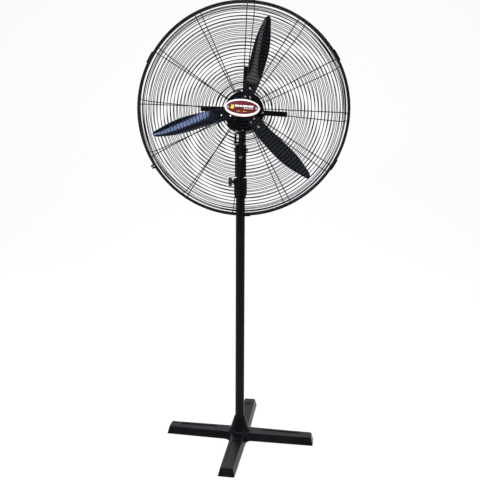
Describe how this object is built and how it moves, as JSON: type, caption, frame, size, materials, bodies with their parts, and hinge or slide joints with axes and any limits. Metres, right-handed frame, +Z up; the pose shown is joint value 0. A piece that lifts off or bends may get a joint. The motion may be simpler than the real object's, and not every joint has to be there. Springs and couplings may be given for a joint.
{
  "type": "pedestal fan",
  "caption": "Black industrial pedestal fan: cross base, telescopic pole, tilting and oscillating motor head, three blades in a wire guard with an oval badge.",
  "frame": {"origin": "on the floor under the pole's axis, on the flat underside of the base's hub", "axes": "+Z up along the pole; the fan blows towards -Y, square to its guard; +X is to the right seen from the front. At rest the head is level, faces straight ahead and is at its lowest height"},
  "size_m": [0.8079, 0.6318, 1.7906],
  "materials": {
    "base_black": "black enamel",
    "frame_black": "gloss black powder coat",
    "motor_black": "satin black",
    "wire_black": "gloss black powder coat",
    "blade_black": "gloss black lacquer",
    "hub_black": "satin black",
    "zinc": "bright zinc",
    "steel": "ground",
    "copper": "enamelled wire",
    "bronze": "plain",
    "rubber": "matt",
    "black_plastic": "satin",
    "nylon": "plain",
    "badge_red": "printed dark red, pale border"
  },
  "bodies": {
    "base": {"base_casting": "base_black", "base_feet": "rubber", "pole_set_screws": "zinc", "lower_pole": "frame_black", "pole_bush": "nylon", "clamp_collar": "frame_black"},
    "clamp_tip": {"clamp_pad": "nylon"},
    "clamp_grip": {"clamp_handle": "black_plastic"},
    "mast": {"inner_tube": "frame_black", "tube_guide": "nylon", "neck_sleeve": "frame_black", "sleeve_screw": "zinc", "tilt_bolt": "zinc", "tilt_nut": "zinc"},
    "neck": {"neck_casting": "frame_black"},
    "head": {"motor_rear_housing": "motor_black", "motor_front_housing": "motor_black", "swing_bush": "bronze", "swing_screw": "zinc", "stator_core": "steel", "stator_windings": "copper", "front_bearing": "steel", "rear_bearing": "steel", "motor_through_bolts": "zinc", "gearbox_housing": "motor_black", "gearbox_cover": "motor_black", "case_screws": "zinc", "rear_cover": "frame_black", "speed_switch": "black_plastic", "capacitor": "black_plastic", "cable_gland": "black_plastic", "guard_bracket": "frame_black", "front_guard_ribs": "wire_black", "rear_guard_ribs": "wire_black", "front_guard_rings": "wire_black", "front_guard_side_rings": "wire_black", "rear_guard_rings": "wire_black", "rear_guard_side_rings": "wire_black", "rim_band": "wire_black", "rim_screw": "zinc", "guard_clips": "wire_black", "badge": "badge_red", "badge_clamp_plate": "zinc", "badge_screws": "zinc"},
    "rotor": {"motor_shaft": "steel", "rotor_core": "steel", "blade_hub": "hub_black", "blade_a": "blade_black", "blade_b": "blade_black", "blade_c": "blade_black", "blade_rivets": "zinc", "hub_nut": "zinc"},
    "drive_wheel": {"worm_wheel": "nylon"},
    "clutch": {"clutch_shaft": "steel"},
    "crank_set": {"output_gear": "steel", "crank": "steel"},
    "link": {"link_rod": "steel"},
    "swing_button": {"oscillation_knob": "black_plastic"},
    "speed_control": {"speed_knob": "black_plastic"}
  },
  "joints": [
    {"name": "height", "type": "slide", "parent": "base", "child": "mast", "axis": [0, 0, 1], "range_m": [0, 0.35]},
    {"name": "clamp_travel", "type": "slide", "parent": "base", "child": "clamp_tip", "axis": [-1, 0, 0], "range_m": [0, 0.00187]},
    {"name": "clamp_turn", "type": "hinge", "parent": "clamp_tip", "child": "clamp_grip", "pos_m": [-0.03, 0, 1.1014], "axis": [-1, 0, 0], "range_deg": [0, 540]},
    {"name": "tilt", "type": "hinge", "parent": "mast", "child": "neck", "pos_m": [0, 0, 1.23], "axis": [-1, 0, 0], "range_deg": [-10, 20]},
    {"name": "swing", "type": "hinge", "parent": "neck", "child": "head", "pos_m": [0.007, 0, 1.28], "axis": [0, 0, 1], "range_deg": [-45, 45]},
    {"name": "fan_spin", "type": "hinge", "parent": "head", "child": "rotor", "pos_m": [0.015, 0, 1.384], "axis": [0, -1, 0], "continuous": true},
    {"name": "worm_drive", "type": "hinge", "parent": "head", "child": "drive_wheel", "pos_m": [-0.01025, 0.051, 1.384], "axis": [0, 0, 1], "continuous": true},
    {"name": "clutch_turn", "type": "hinge", "parent": "head", "child": "clutch", "pos_m": [-0.01025, 0.051, 1.36], "axis": [0, 0, 1], "range_deg": [-230, 230]},
    {"name": "crank_turn", "type": "hinge", "parent": "head", "child": "crank_set", "pos_m": [0.007, 0.07177, 1.31], "axis": [0, 0, 1], "range_deg": [-65, 65]},
    {"name": "link_turn", "type": "hinge", "parent": "crank_set", "child": "link", "pos_m": [-0.0128, 0.07177, 1.3005], "axis": [0, 0, 1], "range_deg": [-65, 65]},
    {"name": "swing_button_push", "type": "slide", "parent": "head", "child": "swing_button", "axis": [0, 0, -1], "range_m": [0, 0.004]},
    {"name": "speed_turn", "type": "hinge", "parent": "head", "child": "speed_control", "pos_m": [0.058, 0.13, 1.4], "axis": [0, -1, 0], "range_deg": [0, 120]}
  ],
  "couplings": [
    {"joint": "clamp_travel", "follows": "clamp_turn", "m_per_rad": 0.00019894},
    {"joint": "worm_drive", "follows": "fan_spin", "ratio": 0.033333},
    {"joint": "clutch_turn", "follows": "swing", "ratio": 4.9497},
    {"joint": "crank_turn", "follows": "swing", "ratio": -1.4142},
    {"joint": "link_turn", "follows": "swing", "ratio": 1.4142}
  ]
}
